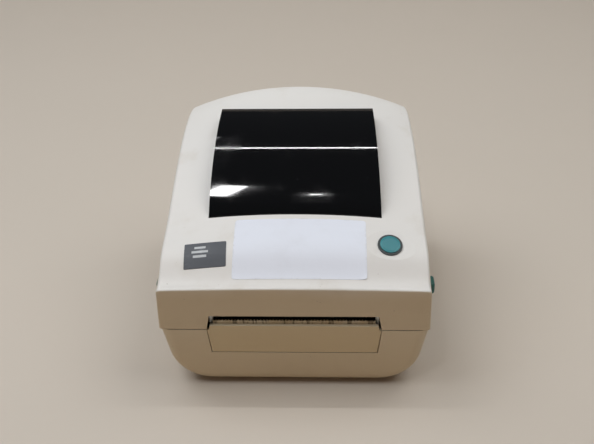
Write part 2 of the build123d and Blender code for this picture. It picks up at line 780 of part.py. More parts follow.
def rack_points(teeth, module):
    """Straight-sided rack teeth along +X from 0, pitch line at 0, as (x, height) points."""
    pitch = math.pi * module
    half_top = pitch / 4 - module * math.tan(math.radians(20)) - gear_backlash / 2
    half_root = pitch / 4 + 1.25 * module * math.tan(math.radians(20)) - gear_backlash / 2
    points = []
    for i in range(teeth):
        x = i * pitch
        points += [(x - half_root, -1.25 * module), (x - half_top, module)]
        points += [(x + half_top, module), (x + half_root, -1.25 * module)]
    return points


def rack_bar():
    """Rack of the right-hand roll holder, toothed side facing the pinion."""
    pitch = math.pi * rack_module
    near = roll_y + rack_module * rack_pinion_teeth / 2
    teeth = int((rack_tail + 6) / pitch)
    first = -rack_tail + pitch * 0.6
    first = pitch * math.floor(first / pitch)
    points = [(first + x, near - height) for x, height in rack_points(teeth, rack_module)]
    back = near + 1.25 * rack_module + rack_depth
    base_line = near + 1.25 * rack_module
    outline = [(-rack_tail - 1.5, base_line)] + points
    outline += [(arm_x + arm_thickness, base_line), (arm_x + arm_thickness, back), (-rack_tail - 1.5, back)]
    face = make_face(Polyline(*[(x, y, rack_low_z) for x, y in outline], close=True))
    return extrude(face, rack_height)


def holder_right():
    """Roll holder: upright arm with a hub pin, and a foot that runs on a rack under the bay."""
    x1 = arm_x + arm_thickness
    foot = arm_foot / 2
    back = roll_y + rack_module * rack_pinion_teeth / 2 + 1.25 * rack_module + rack_depth
    upright = slab_yz([(roll_y - foot, rack_low_z + rack_height - 1), (back, rack_low_z + rack_height - 1),
                       (back, 27.6), (roll_y + foot, 27.6), (roll_y + foot, 46), (roll_y + 15, roll_z - 12),
                       (roll_y + 15, roll_z), (roll_y - 15, roll_z), (roll_y - 15, roll_z - 12),
                       (roll_y - foot, 46)], arm_x, x1)
    upright += bar_x(15, arm_x, x1, roll_y, roll_z)
    side = block(arm_x, x1, roll_y + foot, back, rack_low_z, rack_low_z + rack_height)
    pin = bar_x(hub_pin_r, arm_x - hub_width - 1.5, arm_x, roll_y, roll_z)
    z0, z1 = deck_top_z + 2, roll_z - 8
    ribs = [block(x1 - 0.2, x1 + 2.2, y - 1, y + 1, z0, z1) for y in (roll_y - 7, roll_y + 7)]
    return upright + side + rack_bar() + pin + ribs[0] + ribs[1]


def holder_left():
    return Pos(0, 2 * roll_y, 0) * (Rot(0, 0, 180) * holder_right())


def hub_right():
    """Freewheeling disc on the holder's pin, with a tapered nose that enters the roll's core."""
    x1 = arm_x - 0.3
    x0 = x1 - hub_width
    disc = bar_x(hub_r, x1 - 1.8, x1, roll_y, roll_z)
    nose = Rot(0, -90, 0) * Cone(hub_r - 1, hub_r - 3, hub_width - 1.8)
    nose = Pos((x0 + x1 - 1.8) / 2, roll_y, roll_z) * nose
    hub = disc + nose - bar_x(hub_pin_r + running_clearance, x0 - 1, x1 + 1, roll_y, roll_z)
    for i in range(3):
        angle = math.radians(90 + 120 * i)
        y = roll_y + 7.2 * math.cos(angle)
        z = roll_z + 7.2 * math.sin(angle)
        hub -= bar_x(1.6, x0 - 1, x1 + 1, y, z)
    return hub


def hub_left():
    return mirror(hub_right(), Plane.YZ)


def involute_outline(teeth, module, turn=0.0):
    """Outline of an involute spur gear about the origin, one tooth centred on angle turn, in the XY plane."""
    pitch_r = module * teeth / 2
    base_r = pitch_r * math.cos(math.radians(20))
    tip_r = pitch_r + module
    root_r = pitch_r - 1.25 * module
    half_tooth = math.pi / (2 * teeth) - gear_backlash / (2 * pitch_r)
    flank0 = math.tan(math.radians(20)) - math.radians(20)
    radii = [max(base_r, root_r) + k / 4 * (tip_r - max(base_r, root_r)) for k in range(5)]
    points = []
    for i in range(teeth):
        mid = turn + 2 * math.pi * i / teeth
        half = []
        for r in radii:
            a = math.acos(min(1.0, base_r / r))
            half.append((r, half_tooth + flank0 - (math.tan(a) - a)))
        left = [(root_r, half[0][1] + 0.02)] + half
        points += [(r * math.cos(mid - w), r * math.sin(mid - w)) for r, w in left]
        points += [(r * math.cos(mid + w), r * math.sin(mid + w)) for r, w in reversed(left)]
    return points


def spur_gear(teeth, module, width, bore_r, turn=0.0):
    face = make_face(Polyline(*[(x, y, 0) for x, y in involute_outline(teeth, module, turn)], close=True))
    return extrude(face, width) - Pos(0, 0, width / 2) * Cylinder(bore_r, width + 2)


def holder_pinion():
    """Pinion between the two racks, meshed so that a gap faces each rack tooth."""
    turn = math.pi / 2 + math.pi / rack_pinion_teeth
    return Pos(0, roll_y, rack_low_z) * spur_gear(rack_pinion_teeth, rack_module, rack_height,
                                                  3.0 + running_clearance, turn)


# ---- platen drive -------------------------------------------------------------------------------
def idler_spot():
    reach = gear_module * (platen_teeth + idler_teeth) / 2
    return platen_y + math.sqrt(reach ** 2 - idler_drop ** 2), platen_z - idler_drop


def motor_spot():
    y, z = idler_spot()
    reach = gear_module * (idler_teeth + motor_teeth) / 2
    return y + math.sqrt(reach ** 2 - motor_drop ** 2), z - motor_drop


def gear_turns():
    """Turns that make the three gears mesh, a tooth of one facing a gap of the next."""
    iy, iz = idler_spot()
    my, mz = motor_spot()
    to_idler = math.atan2(iz - platen_z, iy - platen_y)
    to_motor = math.atan2(mz - iz, my - iy)
    platen = to_idler
    idler = to_idler + math.pi + math.pi / idler_teeth
    steps = (to_motor - idler) * idler_teeth / (2 * math.pi)
    motor = to_motor + math.pi + (0.5 + steps) * 2 * math.pi / motor_teeth
    return platen, idler, motor


def gear_on_side(teeth, bore_r, y, z, turn):
    """Spur gear with its axis along X on the right-hand side of the mechanism."""
    return Plane(origin=(gear_x, y, z), x_dir=(0, 1, 0), z_dir=(1, 0, 0)).location * spur_gear(
        teeth, gear_module, gear_width, bore_r, turn)


def platen_gear():
    return gear_on_side(platen_teeth, platen_shaft_r, platen_y, platen_z, gear_turns()[0])


def idler_gear():
    y, z = idler_spot()
    return gear_on_side(idler_teeth, idler_post_r + running_clearance, y, z, gear_turns()[1])


def motor_pinion():
    y, z = motor_spot()
    return gear_on_side(motor_teeth, motor_shaft_r, y, z, gear_turns()[2])


def platen_roller():
    roller = bar_x(platen_r, -platen_length / 2, platen_length / 2, platen_y, platen_z)
    return roller - bar_x(platen_shaft_r, -platen_length, platen_length, platen_y, platen_z)


def platen_shaft():
    shaft = bar_x(platen_shaft_r, -side_plate_x - 5, gear_x + gear_width + 1.5, platen_y, platen_z)
    return shaft


def bushings():
    """Flanged bushings that carry the platen shaft in the side plates."""
    x0 = side_plate_x - 1.2
    x1 = side_plate_x + side_plate_thickness
    bush = bar_x(5.0, side_plate_x, x1, platen_y, platen_z) + bar_x(6.5, x0, side_plate_x, platen_y, platen_z)
    bush -= bar_x(platen_shaft_r + running_clearance, x0 - 1, x1 + 1, platen_y, platen_z)
    return group(both_sides(bush))


def mechanism_frame():
    """Folded steel frame: a floor between two side plates."""
    x1 = side_plate_x + side_plate_thickness
    nose_y = frame_front_y + 18
    side = slab_yz([(frame_front_y, frame_low_z), (frame_rear_y, frame_low_z), (frame_rear_y, 49.0),
                    (nose_y, 49.0), (nose_y, frame_top_z), (frame_front_y, frame_top_z)], side_plate_x, x1)
    side -= bar_x(5.0, side_plate_x - 1, x1 + 1, platen_y, platen_z)
    floor = block(-x1, x1, frame_front_y, frame_rear_y, frame_low_z, frame_low_z + side_plate_thickness)
    frame = floor
    for plate in both_sides(side):
        frame += plate
    my, mz = motor_spot()
    frame -= bar_x(5.0, side_plate_x - 1, x1 + 1, my, mz)
    iy, iz = idler_spot()
    frame += bar_x(idler_post_r, side_plate_x + 1, gear_x + gear_width + 0.8, iy, iz)
    for x, y in frame_spots():
        frame -= bar_z(screw_r + 0.1, frame_low_z - 1, frame_low_z + 5, x, y)
    return frame


def stepper_motor():
    """Round stepper motor on the inner face of the right-hand side plate."""
    my, mz = motor_spot()
    body = bar_x(motor_r, side_plate_x - motor_length, side_plate_x, my, mz)
    body += bar_x(4.8, side_plate_x, side_plate_x + side_plate_thickness - 0.2, my, mz)
    body += bar_x(motor_r - 3, side_plate_x - motor_length - 1.2, side_plate_x - motor_length, my, mz)
    return body - bar_x(motor_shaft_r + running_clearance, side_plate_x - 12, gear_x, my, mz)


def motor_shaft():
    my, mz = motor_spot()
    return bar_x(motor_shaft_r, side_plate_x - 11, gear_x + gear_width + 1, my, mz)


# ---- print head ---------------------------------------------------------------------------------
head_low_z = platen_z + platen_r + head_gap


def print_head():
    """Ceramic strip with the raised heater line above the platen."""
    plate = block(-head_half, head_half, head_front_y, head_front_y + head_depth, head_low_z + 0.3,
                  head_low_z + head_thickness)
    line = block(-head_half + 2, head_half - 2, platen_y - 1, platen_y + 1, head_low_z, head_low_z + 0.5)
    return plate + line


def heat_sink():
    """Finned aluminium block on the print head."""
    low = head_low_z + head_thickness
    sink = block(-head_half, head_half, head_front_y, head_front_y + head_depth, low, low + sink_height)
    for i in range(4):
        y = head_front_y + 2.4 + i * 3.8
        sink -= block(-head_half - 1, head_half + 1, y, y + 1.8, low + 3.4, low + sink_height - 2.6)
    return sink


def head_bracket():
    """Steel plate over the heat sink with two ears that swing on the pivot pin."""
    low = head_low_z + head_thickness + sink_height
    top = low + bracket_thickness
    plate = block(-head_half, head_half, head_front_y, pivot_y - 3, low, top)
    ear = slab_yz([(head_front_y + 12, low), (pivot_y - 1, low), (pivot_y + 4, pivot_z - 3), (pivot_y + 4, pivot_z + 2),
                   (pivot_y + 1, pivot_z + 4), (pivot_y - 3, pivot_z + 4)], head_half - 2.5, head_half)
    ear -= bar_x(pivot_r + running_clearance, head_half - 5, head_half + 5, pivot_y, pivot_z)
    ears = both_sides(ear)
    return plate + ears[0] + ears[1]


def head_pivot_pin():
    return bar_x(pivot_r, -cradle_half - 1, cradle_half + 1, pivot_y, pivot_z)


def head_cradle():
    """Carrier screwed up under the front panel, with cheeks that hold the pivot pin."""
    plate = panel.location * Pos(0, 25.0, cradle_normal + cradle_thickness / 2) * Box(
        2 * cradle_half, 38.0, cradle_thickness)
    edge = panel.from_local_coords(Vector(0, 44.0, cradle_normal))
    top = edge.Z
    cheek = slab_yz([(pivot_y - 6, pivot_z - 5), (pivot_y + 6, pivot_z - 5), (edge.Y - 0.5, top + 0.8),
                     (edge.Y - 26, top - 8)], cradle_half - cradle_thickness, cradle_half)
    cheek -= bar_x(pivot_r, cradle_half - 5, cradle_half + 5, pivot_y, pivot_z)
    cheeks = both_sides(cheek)
    cradle = plate + cheeks[0] + cheeks[1]
    for x, along in boss_spots():
        cradle -= panel.location * Pos(x, along, cradle_normal) * Cylinder(screw_r + 0.1, 10)
    return cradle


def head_springs():
    """Three compression springs between the cradle and the head bracket."""
    low = head_low_z + head_thickness + sink_height + bracket_thickness
    y = head_front_y + 10.0
    top = crest_z + (y - front_y) * math.tan(panel_rad) + (cradle_normal) / math.cos(panel_rad)
    height = top - low - 2.4
    springs = []
    for x in (-34.0, 0.0, 34.0):
        path = Helix(pitch=height / 5, height=height, radius=3.6)
        wire = Plane(origin=path @ 0, z_dir=path % 0) * Circle(0.35)
        springs.append(Pos(x, y, low + 0.6) * sweep(wire, path=path))
    return group(springs)


# ---- fasteners and electronics ------------------------------------------------------------------
def screw():
    """Pan-head screw about the origin, head above z=0."""
    shank = Pos(0, 0, -3.0) * Cylinder(screw_r, 6.0)
    head = Pos(0, 0, screw_head / 2) * Cylinder(screw_head_r, screw_head)
    cross = Box(3.4, 0.8, 1.2) + Box(0.8, 3.4, 1.2)
    return shank + head - Pos(0, 0, screw_head - 0.4) * cross


def base_screws():
    spots = [(x, y, frame_low_z + side_plate_thickness) for x, y in frame_spots()]
    spots += [(x, y, deck_top_z) for x, y in chassis_posts()]
    spots += [(x, y, board_z + board_thickness) for x, y in board_spots()]
    return group([Pos(*spot) * screw() for spot in spots])


def cover_screws():
    turned = Rot(180, 0, 0) * screw()
    return group([panel.location * Pos(x, along, cradle_normal) * turned for x, along in boss_spots()])


def main_board():
    """Control board behind the rear sockets, with its larger parts."""
    top = board_z + board_thickness
    board = block(-board_half, board_half, board_front_y, socket_y - wall - 1, board_z, top)
    for x, y in board_spots():
        board -= bar_z(screw_r + 0.1, board_z - 1, top + 1, x, y)
    chips = block(-14, 14, 58, 78, top, top + 2.2) + block(-44, -28, 56, 66, top, top + 1.6)
    chips += bar_z(4.0, top, top + 11, 38, 60) + bar_z(4.0, top, top + 11, 48, 60)
    chips += block(22, 30, 54, 66, top, top + 4)
    return board + chips


def power_switch():
    """Frame of the rocker switch in the rear wall."""
    x, z = switch_x, rear_row_z
    body = block(x - switch_width / 2, x + switch_width / 2, socket_y - 18, socket_y, z - switch_height / 2,
                 z + switch_height / 2)
    flange = block(x - switch_width / 2 - 1.5, x + switch_width / 2 + 1.5, socket_y, socket_y + 1.2,
                   z - switch_height / 2 - 1.5, z + switch_height / 2 + 1.5)
    well = block(x - switch_width / 2 + 1.2, x + switch_width / 2 - 1.2, socket_y - 7, socket_y + 3,
                 z - switch_height / 2 + 1.2, z + switch_height / 2 - 1.2)
    half = switch_width / 2
    well += bar_x(rocker_pin_r + running_clearance, x - half + 0.2, x + half - 0.2, socket_y - 1.5, z)
    return body + flange - well


def power_rocker():
    """Rocker paddle, pivoting about a horizontal axis in the switch frame."""
    half = switch_width / 2 - 1.5
    tall = switch_height / 2 - 1.8
    z = rear_row_z
    y = socket_y - 1.5
    pivot = bar_x(rocker_pin_r, switch_x - half - 1, switch_x + half + 1, y, z)
    outline = [(y - 3.2, z - 4), (y + 1.4, z - tall), (y + 3.6, z - tall + 0.4), (y + 1.8, z),
               (y + 3.6, z + tall - 0.4), (y + 1.4, z + tall), (y - 3.2, z + 4)]
    return slab_yz(outline, switch_x - half, switch_x + half) + pivot


def power_inlet():
    """Round inlet for a low-voltage power plug, with its centre pin."""
    body = bar_y(inlet_r, socket_y - 18, socket_y, inlet_x, rear_row_z)
    flange = bar_y(inlet_r + 1.5, socket_y, socket_y + 1.0, inlet_x, rear_row_z)
    bore = bar_y(inlet_bore_r, socket_y - 11, socket_y + 2, inlet_x, rear_row_z)
    pin = bar_y(1.0, socket_y - 12, socket_y - 1, inlet_x, rear_row_z)
    return body + flange - bore + pin


def socket_body(x, width, height):
    y0 = socket_y - socket_depth
    return block(x - width / 2, x + width / 2, y0, socket_y, socket_low_z, socket_low_z + height)


def usb_socket():
    z = socket_low_z + usb_height / 2
    well = block(usb_x - 4.2, usb_x + 4.2, socket_y - 9, socket_y + 1, z - 3.9, z + 3.9)
    tongue = block(usb_x - 2.8, usb_x + 2.8, socket_y - 10, socket_y - 1, z - 1.5, z + 1.5)
    return socket_body(usb_x, usb_width, usb_height) - well + tongue


def d_shape(x, z, top_half, low_half, tall, y0, y1):
    return slab_xz([(x - low_half, z - tall), (x + low_half, z - tall), (x + top_half, z + tall),
                    (x - top_half, z + tall)], y0, y1)


def serial_socket():
    """Nine-pin D-shaped plug."""
    z = socket_low_z + serial_height / 2
    piece = socket_body(serial_x, serial_width, serial_height)
    piece += d_shape(serial_x, z, 8.5, 7.5, 4.2, socket_y - 1, socket_y + 5)
    piece -= d_shape(serial_x, z, 7.9, 6.9, 3.6, socket_y - 4, socket_y + 6)
    for row, count in ((1.4, 5), (-1.4, 4)):
        for i in range(count):
            x = serial_x + (i - (count - 1) / 2) * 2.77
            piece += bar_y(0.5, socket_y - 5, socket_y + 3.5, x, z + row)
    for dx in (-12.5, 12.5):
        piece += bar_y(2.2, socket_y - 1, socket_y + 3, serial_x + dx, z)
    return piece


def parallel_socket():
    """Wide ribbon-style socket with two wire clips' posts."""
    z = socket_low_z + parallel_height / 2
    piece = socket_body(parallel_x, parallel_width, parallel_height)
    piece += d_shape(parallel_x, z, 22.5, 21.0, 5.2, socket_y - 1, socket_y + 4)
    piece -= d_shape(parallel_x, z, 21.6, 20.1, 4.3, socket_y - 6, socket_y + 5)
    piece += block(parallel_x - 18, parallel_x + 18, socket_y - 7, socket_y + 2.5, z - 1.2, z + 1.2)
    for dx in (-26.5, 26.5):
        piece += block(parallel_x + dx - 1.5, parallel_x + dx + 1.5, socket_y - 1, socket_y + 4, z - 4, z + 4)
    return piece


NODES = {
    "cover_shell": cover_shell,
    "media_window": media_window,
    "hinge_pins": hinge_pins,
    "button_ring": button_ring,
    "feed_button": feed_button,
    "button_board": button_board,
    "label_sheet": label_sheet,
    "badge_plate": badge_plate,
    "latch_left": latch_left,
    "latch_right": latch_right,
    "head_cradle": head_cradle,
    "head_pivot_pin": head_pivot_pin,
    "head_bracket": head_bracket,
    "heat_sink": heat_sink,
    "print_head": print_head,
    "head_springs": head_springs,
    "cover_screws": cover_screws,
    "base_shell": base_shell,
    "rubber_feet": rubber_feet,
    "front_bezel": front_bezel,
    "tear_bar": tear_bar,
    "media_tray": media_tray,
    "holder_left": holder_left,
    "holder_right": holder_right,
    "hub_left": hub_left,
    "hub_right": hub_right,
    "holder_pinion": holder_pinion,
    "mechanism_frame": mechanism_frame,
    "bushings": bushings,
    "platen_roller": platen_roller,
    "platen_shaft": platen_shaft,
    "platen_gear": platen_gear,
    "idler_gear": idler_gear,
    "motor_pinion": motor_pinion,
    "motor_shaft": motor_shaft,
    "stepper_motor": stepper_motor,
    "base_screws": base_screws,
    "main_board": main_board,
    "power_switch": power_switch,
    "power_rocker": power_rocker,
    "power_inlet": power_inlet,
    "usb_socket": usb_socket,
    "serial_socket": serial_socket,
    "parallel_socket": parallel_socket,
}


def main():
    os.makedirs("parts", exist_ok=True)
    for name, make in NODES.items():
        piece = make()
        export_step(piece, f"parts/{name}.step")
        print(name, round(piece.volume, 1))


if __name__ == "__main__":
    main()
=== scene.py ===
# %% [markdown]
# # A desktop label printer, dressed in Blender
# The printer's shape and joints come ready-made as a frame of named parts. This file gives every part its
# finish, adds the thin things that are easier to make as meshes, and sets up a small studio around it.
# Everything is in metres, with the table at z = 0 and the front of the printer towards -Y.

# %% Load the frame
import math

import bmesh
import bpy
from mathutils import Matrix, Vector
from mathutils.bvhtree import BVHTree


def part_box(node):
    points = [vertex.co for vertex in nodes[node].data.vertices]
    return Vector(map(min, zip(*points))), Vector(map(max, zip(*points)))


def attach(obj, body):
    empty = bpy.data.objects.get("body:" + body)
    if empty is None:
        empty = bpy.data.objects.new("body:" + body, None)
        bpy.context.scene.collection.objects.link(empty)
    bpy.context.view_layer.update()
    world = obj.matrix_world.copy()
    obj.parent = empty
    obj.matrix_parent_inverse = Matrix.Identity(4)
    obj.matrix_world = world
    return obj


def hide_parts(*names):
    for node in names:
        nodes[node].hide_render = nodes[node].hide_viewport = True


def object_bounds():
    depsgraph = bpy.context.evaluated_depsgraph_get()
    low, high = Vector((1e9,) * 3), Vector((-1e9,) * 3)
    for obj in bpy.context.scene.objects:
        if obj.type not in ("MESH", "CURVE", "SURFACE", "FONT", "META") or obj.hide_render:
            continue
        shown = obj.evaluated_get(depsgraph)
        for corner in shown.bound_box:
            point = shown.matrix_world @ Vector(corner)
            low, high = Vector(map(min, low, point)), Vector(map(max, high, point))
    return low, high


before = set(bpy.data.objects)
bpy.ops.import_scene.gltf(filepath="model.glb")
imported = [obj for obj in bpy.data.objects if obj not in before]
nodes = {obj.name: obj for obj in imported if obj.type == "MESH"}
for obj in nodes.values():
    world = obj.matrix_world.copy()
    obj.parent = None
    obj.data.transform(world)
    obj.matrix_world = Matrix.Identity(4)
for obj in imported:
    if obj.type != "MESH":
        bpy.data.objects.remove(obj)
cad_low, cad_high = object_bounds()
print("parts:", len(nodes), "size in mm:", [round(1000 * side) for side in cad_high - cad_low])

# %% [markdown]
# ## Writing shaders as arithmetic
# A shader is a web of nodes, and long sums of Math nodes are hard to read. The small class below wraps one
# output socket, so that `1 - mask` or `mask * 0.3` adds the Math node by itself. Any other kind of node comes
# from one method, `node`, which takes the node's type, its settings, and what goes into its sockets.

# %% Wire: a socket that can be used in sums
class Wire:
    def __init__(self, finish, socket):
        self.finish = finish
        self.socket = socket

    def sum_with(self, operation, first, second):
        return self.finish.node("Math", {"operation": operation}, {0: first, 1: second})

    def __add__(self, other): return self.sum_with("ADD", self, other)
    def __radd__(self, other): return self.sum_with("ADD", other, self)
    def __sub__(self, other): return self.sum_with("SUBTRACT", self, other)
    def __rsub__(self, other): return self.sum_with("SUBTRACT", other, self)
    def __mul__(self, other): return self.sum_with("MULTIPLY", self, other)
    def __rmul__(self, other): return self.sum_with("MULTIPLY", other, self)
    def __abs__(self): return self.sum_with("ABSOLUTE", self, 0.0)

    def ramp(self, low, high):
        """0 below low, 1 above high, and a smooth step between them; low may be the larger."""
        return self.finish.node("MapRange", {"interpolation_type": "SMOOTHSTEP"},
                                {"Value": self, "From Min": low, "From Max": high})


# %% [markdown]
# ## One class for a material
# Every finish starts as a plain Principled shader, with the values that are the same all over set on the
# shader's own sockets. What changes over the surface is then wired in by name. Noise is placed by the
# part's own position in metres, so its scale is real: 400 per metre is a pattern of about 2.5 mm.

# %% Finish: one material and its nodes
class Finish:
    def __init__(self, name, colour, roughness=0.5, metallic=0.0, **constants):
        self.material = bpy.data.materials.new(name)
        self.material.use_nodes = True
        self.tree = self.material.node_tree
        self.shader = self.tree.nodes["Principled BSDF"]
        self.material.diffuse_color = (*colour, 1.0)
        start = {"Base Color": (*colour, 1.0), "Roughness": roughness, "Metallic": metallic}
        start.update({key.replace("_", " ").title(): value for key, value in constants.items()})
        for socket, value in start.items():
            socket = {"Ior": "IOR", "Specular Ior Level": "Specular IOR Level"}.get(socket, socket)
            self.shader.inputs[socket].default_value = value

    def node(self, kind, settings, sockets, out=0):
        """Any node: its type without the ShaderNode prefix, its settings, then values or wires by socket."""
        made = self.tree.nodes.new("ShaderNode" + kind)
        for key, value in settings.items():
            setattr(made, key, value)
        for key, value in sockets.items():
            self.feed(made.inputs[key], value)
        return Wire(self, made.outputs[out])

    def feed(self, socket, value):
        if isinstance(value, Wire):
            self.tree.links.new(value.socket, socket)
        elif isinstance(value, tuple) and len(value) == 3 and socket.type == "RGBA":
            socket.default_value = (*value, 1.0)
        else:
            socket.default_value = value

    def set(self, socket, value):
        self.feed(self.shader.inputs[socket], value)
        return self

    def place(self, stretch=(1, 1, 1)):
        """Position on the part in metres, with each axis stretched."""
        here = self.node("TexCoord", {}, {}, out="Object")
        return self.node("Mapping", {}, {"Vector": here, "Scale": stretch})

    def axis(self, letter):
        return self.node("SeparateXYZ", {}, {"Vector": self.place()}, out=letter)

    def noise(self, per_metre, detail=3.0, stretch=(1, 1, 1), roughness=0.55):
        return self.node("TexNoise", {}, {"Vector": self.place(stretch), "Scale": per_metre, "Detail": detail,
                                          "Roughness": roughness})

    def blend(self, mask, first, second):
        """Colour mix: first where mask is 0, second where it is 1."""
        return self.node("Mix", {"data_type": "RGBA", "clamp_factor": True},
                         {0: mask, 6: first, 7: second}, out=2)

    def bump(self, height, depth):
        """Relief of that depth in metres."""
        relief = self.node("Bump", {}, {"Height": height, "Distance": depth, "Strength": 1.0})
        return self.set("Normal", relief)


def wear(finish, *names):
    """Puts a finish on CAD parts or on pieces."""
    for name in names:
        piece = nodes.get(name) or bpy.data.objects[name]
        piece.data.materials.clear()
        piece.data.materials.append(finish.material)
    print(finish.material.name, "->", ", ".join(names))


# %% [markdown]
# ## The housing's plastic
# The cover and base are moulded from an off-white plastic with a fine spark-eroded grain. Low down, on faces
# that do not look up, and most towards the front, the colour turns a warm tan that is partly yellowing and
# partly painted shade. There are also small specks and hairline scratches. All of it is noise at different
# scales: broad for the yellowing and painted shade, fine for the grain, stretched for the scratches.

# %% Off-white moulded plastic
def moulded(name, fresh, aged_shade_tint, aged_shade_low=0.075, aged_shade_high=0.125, grain=0.00002, grime=0.5):
    finish = Finish(name, fresh, roughness=0.42, specular_ior_level=0.45)
    broad = finish.noise(11.0, 4.0)
    height = finish.axis("Z") + (broad - 0.5) * 0.02
    lean = finish.node("NewGeometry", {}, {}, out="Normal")
    facing_up = finish.node("SeparateXYZ", {}, {"Vector": lean}, out="Z").ramp(0.25, 0.75)
    behind = finish.axis("Y").ramp(-0.100, 0.0)
    # Painted shade: the aged tint falls on low faces that do not look up, and least at the back. It is partly
    # yellowing and partly the warm shade of the front.
    aged_and_front_shade = (1 - height.ramp(aged_shade_low, aged_shade_high)) * (1 - 0.95 * facing_up) * (1 - 0.65 * behind)
    tint = finish.blend(aged_and_front_shade * 0.9, fresh, aged_shade_tint)
    patch = finish.noise(34.0, 5.0).ramp(0.52, 0.78)
    soiled = tuple(0.80 * part for part in aged_shade_tint)
    tint = finish.blend(patch * 0.16, tint, soiled)
    specks = finish.noise(420.0, 2.0).ramp(0.735, 0.78) * finish.noise(30.0, 2.0).ramp(0.45, 0.62)
    tint = finish.blend(specks * grime, tint, (0.16, 0.12, 0.08))
    hairline = finish.noise(90.0, 2.0, stretch=(0.35, 3.2, 3.2)).ramp(0.745, 0.775)
    tint = finish.blend(hairline * 0.28, tint, tuple(0.55 * part for part in aged_shade_tint))
    finish.set("Base Color", tint)
    finish.set("Roughness", 0.37 + 0.13 * finish.noise(55.0, 4.0) + 0.10 * patch)
    return finish.bump(finish.noise(2100.0, 2.0) - 0.35 * hairline, grain)


cover_white = moulded("cover_white", (0.77, 0.765, 0.75), (0.58, 0.475, 0.31),
                      aged_shade_low=0.085, aged_shade_high=0.120)
# The base and bezel start creamier than the cover. That warmth is partly yellowing and partly painted warm
# shade of the front.
base_cream = moulded("base_cream", (0.72, 0.69, 0.60), (0.59, 0.485, 0.32), aged_shade_low=0.02, aged_shade_high=0.20)
bezel_cream = moulded("bezel_cream", (0.70, 0.63, 0.48), (0.58, 0.465, 0.28), aged_shade_low=0.03, aged_shade_high=0.20)
wear(cover_white, "cover_shell")
wear(base_cream, "base_shell")
wear(bezel_cream, "front_bezel")

# %% [markdown]
# ## The smoked window
# The window is a bent sheet of smoked acrylic. With the dark bay behind it, it reads as a black mirror, so a
# nearly black base with a clear coat is enough. Finger smudges change only the roughness, and a few fine
# scratches catch the light.

# %% Smoked acrylic
smoke = (0.0025, 0.0028, 0.0035)
smoked = Finish("smoked_acrylic", smoke, roughness=0.06, coat_weight=0.3, coat_roughness=0.02,
                specular_ior_level=0.5)
smudge = smoked.noise(26.0, 5.0).ramp(0.48, 0.75)
scratch = smoked.noise(70.0, 2.0, stretch=(0.5, 2.6, 1.3)).ramp(0.755, 0.775)
dust = smoked.noise(700.0, 2.0).ramp(0.76, 0.80)
smoked.set("Roughness", 0.045 + 0.10 * smudge + 0.25 * scratch)
smoked.set("Base Color", smoked.blend(scratch * 0.25 + dust * 0.3, smoke, (0.15, 0.16, 0.18)))
smoked.bump(scratch * -1.0, 0.000008)
wear(smoked, "media_window")

# %% [markdown]
# ## Teal controls
# The feed button, the latch tabs and the roll holders share one kind of teal plastic, and the latches are the
# darkest. A satin surface with faint flow marks and lighter rubbed edges is what such small mouldings have.

# %% Teal plastic
def teal(name, colour, rubbed):
    finish = Finish(name, colour, roughness=0.34, specular_ior_level=0.5)
    flow = finish.noise(120.0, 4.0, stretch=(1, 1, 0.4))
    rub = finish.node("NewGeometry", {}, {}, out="Pointiness").ramp(0.51, 0.56)
    tint = finish.blend(flow.ramp(0.35, 0.75) * 0.35, colour, tuple(0.78 * part for part in colour))
    finish.set("Base Color", finish.blend(rub * 0.35, tint, rubbed))
    finish.set("Roughness", 0.27 + 0.18 * flow)
    return finish.bump(finish.noise(1900.0, 2.0), 0.00001)


wear(teal("button_teal", (0.012, 0.205, 0.245), (0.06, 0.36, 0.40)), "feed_button")
wear(teal("latch_teal", (0.018, 0.130, 0.115), (0.06, 0.25, 0.23)), "latch_left", "latch_right")
wear(teal("holder_teal", (0.030, 0.190, 0.185), (0.10, 0.34, 0.33)), "holder_left", "holder_right")


# %% [markdown]
# ## Dark plastics
# The button's ring, the tray, the head's cradle and the sockets are plain dark mouldings. A flat black looks
# like a hole, so a slow cloud of noise varies both the colour and the gloss a little.

# %% Dark plastics
def dark_plastic(name, colour, roughness, grain=900.0):
    finish = Finish(name, colour, roughness=roughness, specular_ior_level=0.45)
    cloud = finish.noise(60.0, 5.0)
    finish.set("Base Color", finish.blend(cloud.ramp(0.4, 0.8) * 0.5, colour, tuple(1.6 * c for c in colour)))
    finish.set("Roughness", roughness - 0.08 + 0.2 * cloud)
    return finish.bump(finish.noise(grain, 2.0), 0.00002)


wear(dark_plastic("ring_dark", (0.020, 0.030, 0.034), 0.40), "button_ring")
wear(dark_plastic("tray_grey", (0.045, 0.047, 0.052), 0.55), "media_tray")
wear(dark_plastic("cradle_black", (0.022, 0.022, 0.024), 0.50), "head_cradle", "bushings", "hub_left",
     "hub_right")
wear(dark_plastic("socket_black", (0.018, 0.018, 0.019), 0.42), "power_switch", "power_inlet",
     "parallel_socket")
wear(dark_plastic("rocker_gloss", (0.012, 0.012, 0.013), 0.18), "power_rocker")

# %% [markdown]
# ## Rubber
# The platen is ground rubber, so its relief is fine rings round the roller. Noise stretched across the roller
# and squeezed along it makes the rings, and a dusty cloud lightens the colour where paper dust has settled.

# %% Rubber: ground rings for the roller, plain for the feet
def rubber(name, colour, stretch, depth):
    finish = Finish(name, colour, roughness=0.75, specular_ior_level=0.3)
    dusty = finish.noise(45.0, 5.0).ramp(0.45, 0.8)
    finish.set("Base Color", finish.blend(dusty * 0.5, colour, (0.10, 0.095, 0.09)))
    finish.set("Roughness", 0.66 + 0.2 * dusty)
    return finish.bump(finish.noise(500.0, 3.0, stretch=stretch), depth)


wear(rubber("platen_rubber", (0.022, 0.022, 0.023), (6, 0.6, 0.6), 0.00004), "platen_roller")
wear(rubber("foot_rubber", (0.020, 0.020, 0.020), (1, 1, 1), 0.00003), "rubber_feet")


# %% [markdown]
# ## Metals
# Sheet steel is zinc plated and clouded, while the aluminium heat sink shows lines along the way it was
# extruded. The same stretched noise makes them all: only the colour, the direction and the gloss change.

